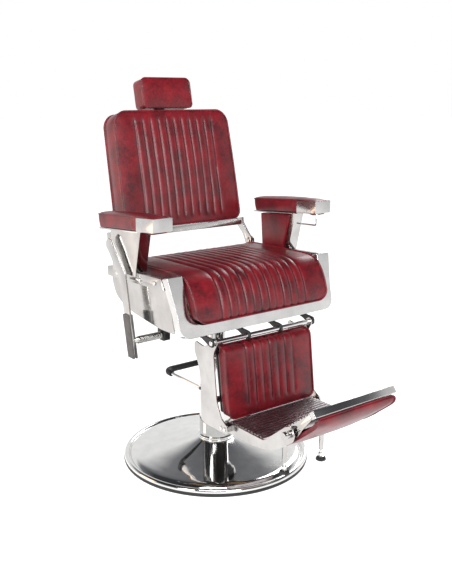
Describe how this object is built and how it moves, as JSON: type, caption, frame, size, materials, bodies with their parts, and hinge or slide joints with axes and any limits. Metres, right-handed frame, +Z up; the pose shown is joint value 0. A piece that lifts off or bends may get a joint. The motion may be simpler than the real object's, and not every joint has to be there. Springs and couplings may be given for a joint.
{
  "type": "hydraulic barber chair",
  "caption": "Reclining barber chair on a hydraulic pedestal, with channelled upholstery, a sliding headrest, metal-capped armrests and a leg rest whose foot flap turns over.",
  "frame": {"origin": "centre of the round base on the floor it stands on", "axes": "+Z up; the sitter faces -Y; +X is the sitter's left"},
  "size_m": [0.652, 0.9393, 1.1861],
  "materials": {
    "chrome": "polished",
    "stainless_steel": "brushed stainless",
    "oxblood_leatherette": "mottled oxblood faux leather",
    "black_rubber": "black",
    "black_paint": "satin black",
    "plywood": "plywood",
    "grey_grip": "dark grey"
  },
  "bodies": {
    "base": {"base_cover": "chrome", "base_rubber_ring": "black_rubber", "base_ballast": "black_paint", "base_bolts": "stainless_steel", "pump_cylinder": "black_paint", "column_cover": "chrome", "column_collar": "chrome", "column_cap": "chrome", "pedal_lugs": "black_paint"},
    "pedal": {"pedal_yoke": "chrome", "pedal_tread": "black_rubber"},
    "lift": {"lift_ram": "chrome", "piston_seal": "black_rubber"},
    "seat": {"swivel_hub": "black_paint", "mount_bolts": "stainless_steel", "seat_frame": "black_paint", "side_plate_left": "stainless_steel", "side_plate_right": "stainless_steel", "side_rail_left": "stainless_steel", "side_rail_right": "stainless_steel", "rail_screws": "chrome", "front_arch": "stainless_steel", "seat_board": "plywood", "seat_cushion": "oxblood_leatherette", "armrest_bracket_left": "stainless_steel", "armrest_bracket_right": "stainless_steel", "armrest_panels": "oxblood_leatherette", "armrest_pad_left": "oxblood_leatherette", "armrest_pad_right": "oxblood_leatherette", "armrest_caps": "stainless_steel", "towel_rail": "chrome", "recline_hinges": "stainless_steel", "leg_rod": "chrome", "lever_block": "black_paint", "lever_spring": "stainless_steel"},
    "back": {"back_frame": "stainless_steel", "back_trim": "chrome", "back_cushion": "oxblood_leatherette", "back_shell": "oxblood_leatherette", "headrest_clamp": "stainless_steel"},
    "headrest": {"headrest_post": "stainless_steel", "headrest_cushion": "oxblood_leatherette"},
    "legrest": {"leg_plate_left": "stainless_steel", "leg_plate_right": "stainless_steel", "leg_tubes": "stainless_steel", "calf_board": "plywood", "calf_cushion": "oxblood_leatherette", "foot_cheek_left": "stainless_steel", "foot_cheek_right": "stainless_steel", "foot_frame": "stainless_steel", "foot_bolts": "chrome", "foot_tread": "stainless_steel"},
    "flap": {"flap_tread": "stainless_steel", "flap_trim": "stainless_steel", "flap_cushion": "oxblood_leatherette", "flap_sides": "chrome"},
    "levelling_foot_left": {"levelling_foot_left": "black_rubber"},
    "levelling_foot_right": {"levelling_foot_right": "black_rubber"},
    "lever": {"recline_lever": "stainless_steel", "lever_grip": "grey_grip"}
  },
  "joints": [
    {"name": "pedal_pump", "type": "hinge", "parent": "base", "child": "pedal", "pos_m": [0, -0.025, 0.251], "axis": [-1, 0, 0], "range_deg": [0, 20], "stiffness_Nm_per_rad": 30, "springref_deg": -8.59},
    {"name": "lift", "type": "slide", "parent": "base", "child": "lift", "axis": [0, 0, 1], "range_m": [-0.1, 0.06]},
    {"name": "swivel", "type": "hinge", "parent": "lift", "child": "seat", "pos_m": [0, 0, 0.46], "axis": [0, 0, 1], "continuous": true},
    {"name": "recline", "type": "hinge", "parent": "seat", "child": "back", "pos_m": [0, 0.15, 0.655], "axis": [-1, 0, 0], "range_deg": [0, 50]},
    {"name": "headrest_height", "type": "slide", "parent": "back", "child": "headrest", "axis": [0, 0.2062, 0.9785], "range_m": [0, 0.08]},
    {"name": "leg_rest_swing", "type": "hinge", "parent": "seat", "child": "legrest", "pos_m": [0, -0.232, 0.47], "axis": [-1, 0, 0], "range_deg": [0, 60]},
    {"name": "foot_flap", "type": "hinge", "parent": "legrest", "child": "flap", "pos_m": [0, -0.525, 0.298], "axis": [-1, 0, 0], "range_deg": [0, 180]},
    {"name": "levelling_left", "type": "slide", "parent": "legrest", "child": "levelling_foot_left", "axis": [0, 0, -1], "range_m": [0, 0.012]},
    {"name": "levelling_right", "type": "slide", "parent": "legrest", "child": "levelling_foot_right", "axis": [0, 0, -1], "range_m": [0, 0.012]},
    {"name": "recline_release", "type": "hinge", "parent": "seat", "child": "lever", "pos_m": [-0.29, -0.032, 0.452], "axis": [-1, 0, 0], "range_deg": [0, 12], "stiffness_Nm_per_rad": 8, "springref_deg": -20.05}
  ],
  "couplings": [
    {"joint": "leg_rest_swing", "follows": "recline", "ratio": 1.2}
  ]
}
